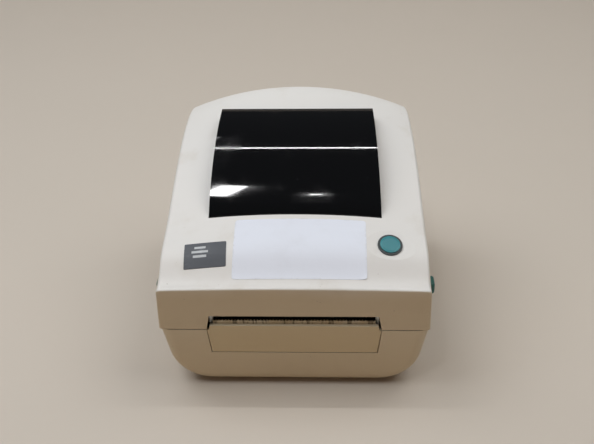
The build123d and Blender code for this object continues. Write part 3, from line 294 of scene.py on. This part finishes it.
# %% Metals
def metal(name, colour, roughness, stretch=(1, 1, 1), per_metre=700.0, cloud=0.35, depth=0.000006):
    finish = Finish(name, colour, roughness=roughness, metallic=1.0)
    lines = finish.noise(per_metre, 3.0, stretch=stretch)
    clouds = finish.noise(70.0, 4.0)
    dull = tuple(0.62 * part for part in colour)
    tint = finish.blend(clouds.ramp(0.35, 0.75) * cloud, colour, dull)
    finish.set("Base Color", finish.blend(lines.ramp(0.55, 0.8) * 0.25, tint, dull))
    finish.set("Roughness", roughness - 0.06 + 0.16 * lines + 0.08 * clouds)
    return finish.bump(lines, depth)


wear(metal("zinc_sheet", (0.60, 0.60, 0.585), 0.34, (1, 4, 4)), "mechanism_frame", "head_bracket")
wear(metal("extruded_aluminium", (0.68, 0.69, 0.70), 0.30, (0.08, 4, 4)), "heat_sink")
wear(metal("ground_shaft", (0.63, 0.63, 0.64), 0.16, (5, 0.3, 0.3)), "platen_shaft", "hinge_pins",
     "head_pivot_pin", "motor_shaft")
wear(metal("plated_case", (0.48, 0.48, 0.49), 0.32), "stepper_motor")
wear(metal("screw_zinc", (0.42, 0.42, 0.43), 0.33), "base_screws", "cover_screws")
wear(metal("spring_wire", (0.50, 0.50, 0.50), 0.25), "head_springs")
wear(metal("pinion_brass", (0.72, 0.52, 0.22), 0.26), "motor_pinion")
wear(metal("socket_tin", (0.60, 0.60, 0.60), 0.28), "usb_socket", "serial_socket")

# %% [markdown]
# ## The tear bar
# Each label torn off leaves a little glue and dust on the strip. Its warm tan is partly that film and partly
# a painted warm reflection. Its dark upright streaks are partly dried glue and partly painted shade. Noise
# that is fine across the printer and long up the strip gives them.

# %% Tear bar: steel under glue and dust, with a painted warm reflection and painted shade in the streaks
# The tan colours are partly glue and dust and partly a painted warm reflection.
tear_steel = Finish("tear_steel", (0.55, 0.47, 0.34), roughness=0.42, metallic=0.35)
# Painted shade: the dark upright streaks are partly dried glue and partly painted shade.
streak_of_glue_and_shade = tear_steel.noise(330.0, 3.0, stretch=(1, 0.1, 0.12)).ramp(0.50, 0.62)
film_of_glue = tear_steel.noise(60.0, 4.0)
tear_steel.set("Base Color", tear_steel.blend(streak_of_glue_and_shade * 0.75, tear_steel.blend(
    film_of_glue.ramp(0.35, 0.7) * 0.6, (0.58, 0.53, 0.42), (0.46, 0.36, 0.20)), (0.10, 0.08, 0.05)))
tear_steel.set("Roughness", 0.34 + 0.3 * film_of_glue)
tear_steel.bump(tear_steel.noise(900.0, 2.0, stretch=(1, 1, 0.1)), 0.00002)
wear(tear_steel, "tear_bar")

# %% [markdown]
# ## Gears and the head's ceramic
# The gears are natural nylon, which lets a little light in, with grease in patches. The print head is a
# glazed ceramic plate, and its heater is one dark line right over the platen's axis.

# %% Gears and ceramic
gear_nylon = Finish("gear_nylon", (0.70, 0.67, 0.58), roughness=0.42, subsurface_weight=0.1)
grease = gear_nylon.noise(220.0, 3.0).ramp(0.55, 0.8)
gear_nylon.set("Base Color", gear_nylon.blend(grease * 0.5, (0.70, 0.67, 0.58), (0.45, 0.40, 0.30)))
gear_nylon.set("Roughness", 0.45 - 0.25 * grease)
wear(gear_nylon, "platen_gear", "idler_gear", "holder_pinion")

ceramic = Finish("head_ceramic", (0.70, 0.66, 0.54), roughness=0.22, coat_weight=0.4)
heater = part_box("platen_shaft")
line_y = (heater[0].y + heater[1].y) / 2
line = abs(ceramic.axis("Y") - line_y).ramp(0.0012, 0.0008)
ceramic.set("Base Color", ceramic.blend(line, (0.70, 0.66, 0.54), (0.10, 0.07, 0.05)))
ceramic.set("Roughness", 0.20 + 0.1 * ceramic.noise(300.0, 2.0))
wear(ceramic, "print_head")

# %% [markdown]
# ## Circuit boards
# Green solder mask over copper reads as a lattice of slightly lighter straight tracks with tinned pads. Brick
# texture lines, cut into runs by a second noise, give tracks without drawing any.

# %% Solder mask
def board_green(name, colour):
    finish = Finish(name, colour, roughness=0.32, coat_weight=0.3)
    tracks = finish.node("TexBrick", {"offset": 0.5}, {
        "Vector": finish.place(), "Scale": 160.0, "Mortar Size": 0.07, "Mortar Smooth": 0.2,
        "Brick Width": 2.4, "Row Height": 0.35, "Color1": (0, 0, 0), "Color2": (0, 0, 0),
        "Mortar": (1, 1, 1)}, out="Fac")
    broken = tracks * finish.noise(90.0, 1.0).ramp(0.45, 0.5)
    pads = finish.node("TexVoronoi", {}, {"Vector": finish.place(), "Scale": 210.0}).ramp(0.17, 0.13)
    tint = finish.blend(broken * 0.7, colour, tuple(2.1 * part for part in colour))
    lean = finish.node("NewGeometry", {}, {}, out="Normal")
    upward = finish.node("SeparateXYZ", {}, {"Vector": lean}, out="Z")
    finish.set("Base Color", finish.blend(pads * upward.ramp(0.5, 0.9), tint, (0.62, 0.58, 0.50)))
    finish.set("Roughness", 0.28 + 0.15 * broken)
    return finish


wear(board_green("solder_mask", (0.012, 0.085, 0.040)), "main_board", "button_board")

# %% [markdown]
# ## Laying thin things on the crowned panel
# The front panel is crowned, so a flat plate would sink in the middle or float at its edges. A ray dropped
# from above onto the cover's own mesh gives the height at any point, and a grid of such points is a sheet
# that follows the panel.

# %% The panel's surface as a function
cover_tree = BVHTree.FromObject(nodes["cover_shell"], bpy.context.evaluated_depsgraph_get())


def skin(x, y):
    """Height of the cover above the point (x, y)."""
    hit, normal, face, distance = cover_tree.ray_cast(Vector((x, y, cad_high.z + 0.05)), Vector((0, 0, -1)))
    return hit.z


label_low, label_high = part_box("label_sheet")
badge_low, badge_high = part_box("badge_plate")
print("panel height under the label's middle, mm:",
      round(1000 * skin((label_low.x + label_high.x) / 2, (label_low.y + label_high.y) / 2), 1))


# %% [markdown]
# ## A sheet with rounded corners
# A grid has square corners, so each point near a corner is pulled in towards the corner's round. Two such
# grids, one above the other, are joined along their rims, which makes a closed sheet with a real thickness.

# %% Sheets with rounded corners
def corner_pull(u, v, width, depth, radius):
    """Moves a grid point of a rectangle so that the outline gets round corners. u and v run from -1 to 1."""
    x, y = u * width / 2, v * depth / 2
    inner_x, inner_y = width / 2 - radius, depth / 2 - radius
    dx, dy = max(abs(x) - inner_x, 0.0), max(abs(y) - inner_y, 0.0)
    reach = math.hypot(dx, dy)
    if dx and dy and reach:
        most = max(dx, dy)
        x = math.copysign(inner_x + dx * most / reach, x)
        y = math.copysign(inner_y + dy * most / reach, y)
    return x, y


def sheet_on_panel(name, centre, width, depth, thickness, radius, turn=0.0, lift=None, cells=(64, 36)):
    """A closed thin sheet that follows the panel. lift(x, y) raises it locally, as at a loose corner."""
    mesh = bpy.data.meshes.new(name)
    form = bmesh.new()
    layers = []
    for above in (thickness, 0.0):
        layer = []
        for j in range(cells[1] + 1):
            row = []
            for i in range(cells[0] + 1):
                x, y = corner_pull(2 * i / cells[0] - 1, 2 * j / cells[1] - 1, width, depth, radius)
                extra = lift(x, y) if lift else 0.0
                x, y = x * math.cos(turn) - y * math.sin(turn), x * math.sin(turn) + y * math.cos(turn)
                x, y = centre[0] + x, centre[1] + y
                row.append(form.verts.new((x, y, skin(x, y) + 0.00003 + above + extra)))
            layer.append(row)
        layers.append(layer)
    top, under = layers
    for j in range(cells[1]):
        for i in range(cells[0]):
            form.faces.new((top[j][i], top[j][i + 1], top[j + 1][i + 1], top[j + 1][i]))
            form.faces.new((under[j][i], under[j + 1][i], under[j + 1][i + 1], under[j][i + 1]))
    rim_top = [top[0][i] for i in range(cells[0])] + [top[j][-1] for j in range(cells[1])]
    rim_top += [top[-1][i] for i in range(cells[0], 0, -1)] + [top[j][0] for j in range(cells[1], 0, -1)]
    rim_low = [under[0][i] for i in range(cells[0])] + [under[j][-1] for j in range(cells[1])]
    rim_low += [under[-1][i] for i in range(cells[0], 0, -1)] + [under[j][0] for j in range(cells[1], 0, -1)]
    for k in range(len(rim_top)):
        n = (k + 1) % len(rim_top)
        form.faces.new((rim_top[k], rim_low[k], rim_low[n], rim_top[n]))
    form.to_mesh(mesh)
    form.free()
    mesh.shade_smooth()
    mesh.set_sharp_from_angle(angle=math.radians(50))
    piece = bpy.data.objects.new(name, mesh)
    bpy.context.scene.collection.objects.link(piece)
    print(name, "faces:", len(mesh.polygons))
    return piece


# %% [markdown]
# ## The blank label
# A direct-thermal label is bluish white and a little grubby along its edges, and this one has begun to let go
# at one corner, so that corner is lifted by a fraction of a millimetre.

# %% Label paper
middle = (label_low + label_high) / 2
label_width, label_depth = label_high.x - label_low.x, label_high.y - label_low.y


def peeling(x, y):
    near = max(0.0, 1 - math.hypot(x - label_width / 2, y + label_depth / 2) / 0.011)
    ripple = 0.00003 * math.sin(x * 190) * math.sin(y * 240)
    return 0.0007 * near**2 + ripple + 0.00003


label = sheet_on_panel("paper_label", middle, label_width - 0.0004, label_depth - 0.0004, 0.00018, 0.0022,
                       lift=peeling)
paper = Finish("label_paper", (0.80, 0.845, 0.945), roughness=0.58, specular_ior_level=0.35)
rim = abs(paper.axis("X") - middle.x) * (2 / label_width)
rim_y = abs(paper.axis("Y") - middle.y) * (2 / label_depth)
fibre = paper.noise(260.0, 5.0)
grubby = rim.ramp(0.965, 1.0) * fibre.ramp(0.45, 0.65) + rim_y.ramp(0.95, 1.0) * fibre.ramp(0.5, 0.7)
paper.set("Base Color", paper.blend(grubby * 0.30 + paper.noise(38.0, 5.0).ramp(0.5, 0.85) * 0.10,
                                    (0.80, 0.845, 0.945), (0.42, 0.40, 0.38)))
paper.set("Roughness", 0.5 + 0.15 * fibre)
paper.bump(fibre + 0.8 * paper.noise(60.0, 3.0), 0.00005)
wear(paper, "paper_label")
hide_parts("label_sheet")
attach(label, "cover")

# %% [markdown]
# ## The badge
# The badge is made the same way as the label, a little thicker and turned by a few degrees. Its face carries
# only a plain emblem of three bars, which are masks made from distances along and across it.

# %% Badge film
badge_turn = math.radians(2.5)
badge_middle = (badge_low + badge_high) / 2
badge_width = 0.0320
badge_depth = (badge_high.y - badge_low.y - badge_width * math.sin(badge_turn)) / math.cos(badge_turn)
badge = sheet_on_panel("badge_film", badge_middle, badge_width, badge_depth, 0.00045, 0.0006, turn=badge_turn,
                       cells=(36, 28))
film = Finish("badge_film", (0.045, 0.052, 0.068), roughness=0.36)
sideways = film.axis("X") - badge_middle.x
backwards = film.axis("Y") - badge_middle.y
across = sideways * math.cos(badge_turn) + backwards * math.sin(badge_turn)
along = backwards * math.cos(badge_turn) - sideways * math.sin(badge_turn)
bars = None
for step, length in ((0.0055, 0.0042), (0.0020, 0.0062), (-0.0015, 0.0050)):
    bar = abs(along - step).ramp(0.0010, 0.0008) * abs(across + 0.004).ramp(length + 0.0002, length)
    bars = bar if bars is None else bars + bar
scuff = film.noise(160.0, 4.0).ramp(0.6, 0.78)
film.set("Base Color", film.blend(bars * 0.8 + scuff * 0.08, (0.045, 0.052, 0.068), (0.62, 0.65, 0.68)))
film.set("Roughness", 0.30 + 0.2 * film.noise(90.0, 3.0))
film.bump(film.noise(900.0, 2.0) + 2.0 * bars, 0.00001)
wear(film, "badge_film")
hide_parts("badge_plate")
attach(badge, "cover")

# %% [markdown]
# ## Camera
# The camera looks down at the front of the printer from about 0.7 m, with a 50 mm lens. It is placed by its
# angle and distance from a point in the housing, so moving it keeps the printer in frame.

# %% Camera
def look_from(target, azimuth, elevation, distance, roll):
    """Camera matrix: azimuth from the front towards +X, elevation above the table, all in degrees."""
    a, e, r = (math.radians(angle) for angle in (azimuth, elevation, roll))
    back = Vector((math.sin(a) * math.cos(e), -math.cos(a) * math.cos(e), math.sin(e)))
    right = (-back).cross(Vector((0, 0, 1))).normalized()
    up = right.cross(-back)
    right, up = right * math.cos(r) + up * math.sin(r), up * math.cos(r) - right * math.sin(r)
    turn = Matrix((right, up, back)).transposed().to_4x4()
    return Matrix.Translation(target + back * distance) @ turn


camera = bpy.data.objects.new("camera", bpy.data.cameras.new("camera"))
camera.data.sensor_width = 36.0
camera.data.lens = 50.7
camera.matrix_world = look_from(Vector((-0.0001, -0.003, 0.0887)), 2.44, 33.44, 0.703, -1.31)
bpy.context.scene.collection.objects.link(camera)
bpy.context.scene.camera = camera
print("camera at", [round(v, 3) for v in camera.matrix_world.translation], "lens", camera.data.lens)

# %% [markdown]
# ## Table and backdrop
# The table runs up behind the printer in one smooth sweep, so there is no line where the table ends.

# %% Backdrop
def sweep_floor(depth_back=1.3, rise=1.2, round_r=0.5):
    mesh = bpy.data.meshes.new("backdrop")
    form = bmesh.new()
    line = [(-1.6, 0.0), (depth_back - round_r, 0.0)]
    line += [(depth_back - round_r + round_r * math.sin(t), round_r - round_r * math.cos(t))
             for t in (math.radians(6 * k) for k in range(1, 15))]
    line += [(depth_back, round_r), (depth_back, rise)]
    rows = [[form.verts.new((x, y, z - 0.00002)) for x in (-2.2, 2.2)] for y, z in line]
    for first, second in zip(rows, rows[1:]):
        form.faces.new((first[0], first[1], second[1], second[0]))
    form.to_mesh(mesh)
    form.free()
    mesh.shade_smooth()
    piece = bpy.data.objects.new("backdrop", mesh)
    bpy.context.scene.collection.objects.link(piece)
    return piece


backdrop = sweep_floor()
pale = Finish("pale_table", (0.61, 0.555, 0.49), roughness=0.6)
pale.set("Roughness", 0.5 + 0.15 * pale.noise(8.0, 3.0))
wear(pale, "backdrop")


# %% [markdown]
# ## Lights
# The window is a mirror, and from here it shows whatever is straight above and behind the printer. So the two
# large soft lights stand high at the sides, where they brighten the cover's top and leave the front face in
# shade. One behind lights the domed rear, and two low warm ones keep the front from going grey. The last
# three are small and are there to be seen in the window: a long line, a patch and a spot.

# %% Lights
def area_light(name, target, azimuth, elevation, distance, size, power, colour=(1, 1, 1)):
    lamp = bpy.data.lights.new(name, "AREA")
    lamp.shape = "RECTANGLE"
    lamp.size, lamp.size_y = size
    lamp.energy = power
    lamp.color = colour
    piece = bpy.data.objects.new(name, lamp)
    piece.matrix_world = look_from(target, azimuth, elevation, distance, 0)
    bpy.context.scene.collection.objects.link(piece)
    return piece


centre = Vector((0, 0, 0.09))
on_window = Vector((0, -0.001, 0.157))
area_light("left_key", centre, -97, 60, 1.7, (1.3, 1.1), 13.5, (0.97, 0.99, 1.0))
area_light("right_key", centre, 97, 60, 1.7, (1.3, 1.1), 9.5, (1.0, 0.98, 0.94))
area_light("rear_key", centre, 180, 30, 1.8, (1.4, 0.4), 5.0, (0.96, 0.98, 1.0))
area_light("warm_left", centre, -42, 9, 1.8, (0.7, 0.4), 1.7, (1.0, 0.50, 0.18))
area_light("warm_right", centre, 42, 9, 1.8, (0.7, 0.4), 1.25, (1.0, 0.50, 0.18))
area_light("window_line", on_window, 180, 78.3, 1.5, (2.2, 0.010), 4.5)
area_light("window_patch", Vector((-0.062, -0.031, 0.137)), -17, 66, 1.4, (0.07, 0.20), 1.6)
area_light("window_spot", Vector((0.009, -0.032, 0.136)), -1, 64, 1.4, (0.030, 0.018), 0.10)
world = bpy.data.worlds.new("studio")
world.use_nodes = True
world.node_tree.nodes["Background"].inputs["Color"].default_value = (0.82, 0.84, 0.88, 1.0)
world.node_tree.nodes["Background"].inputs["Strength"].default_value = 0.075
bpy.context.scene.world = world
bpy.context.scene.view_settings.view_transform = "Standard"
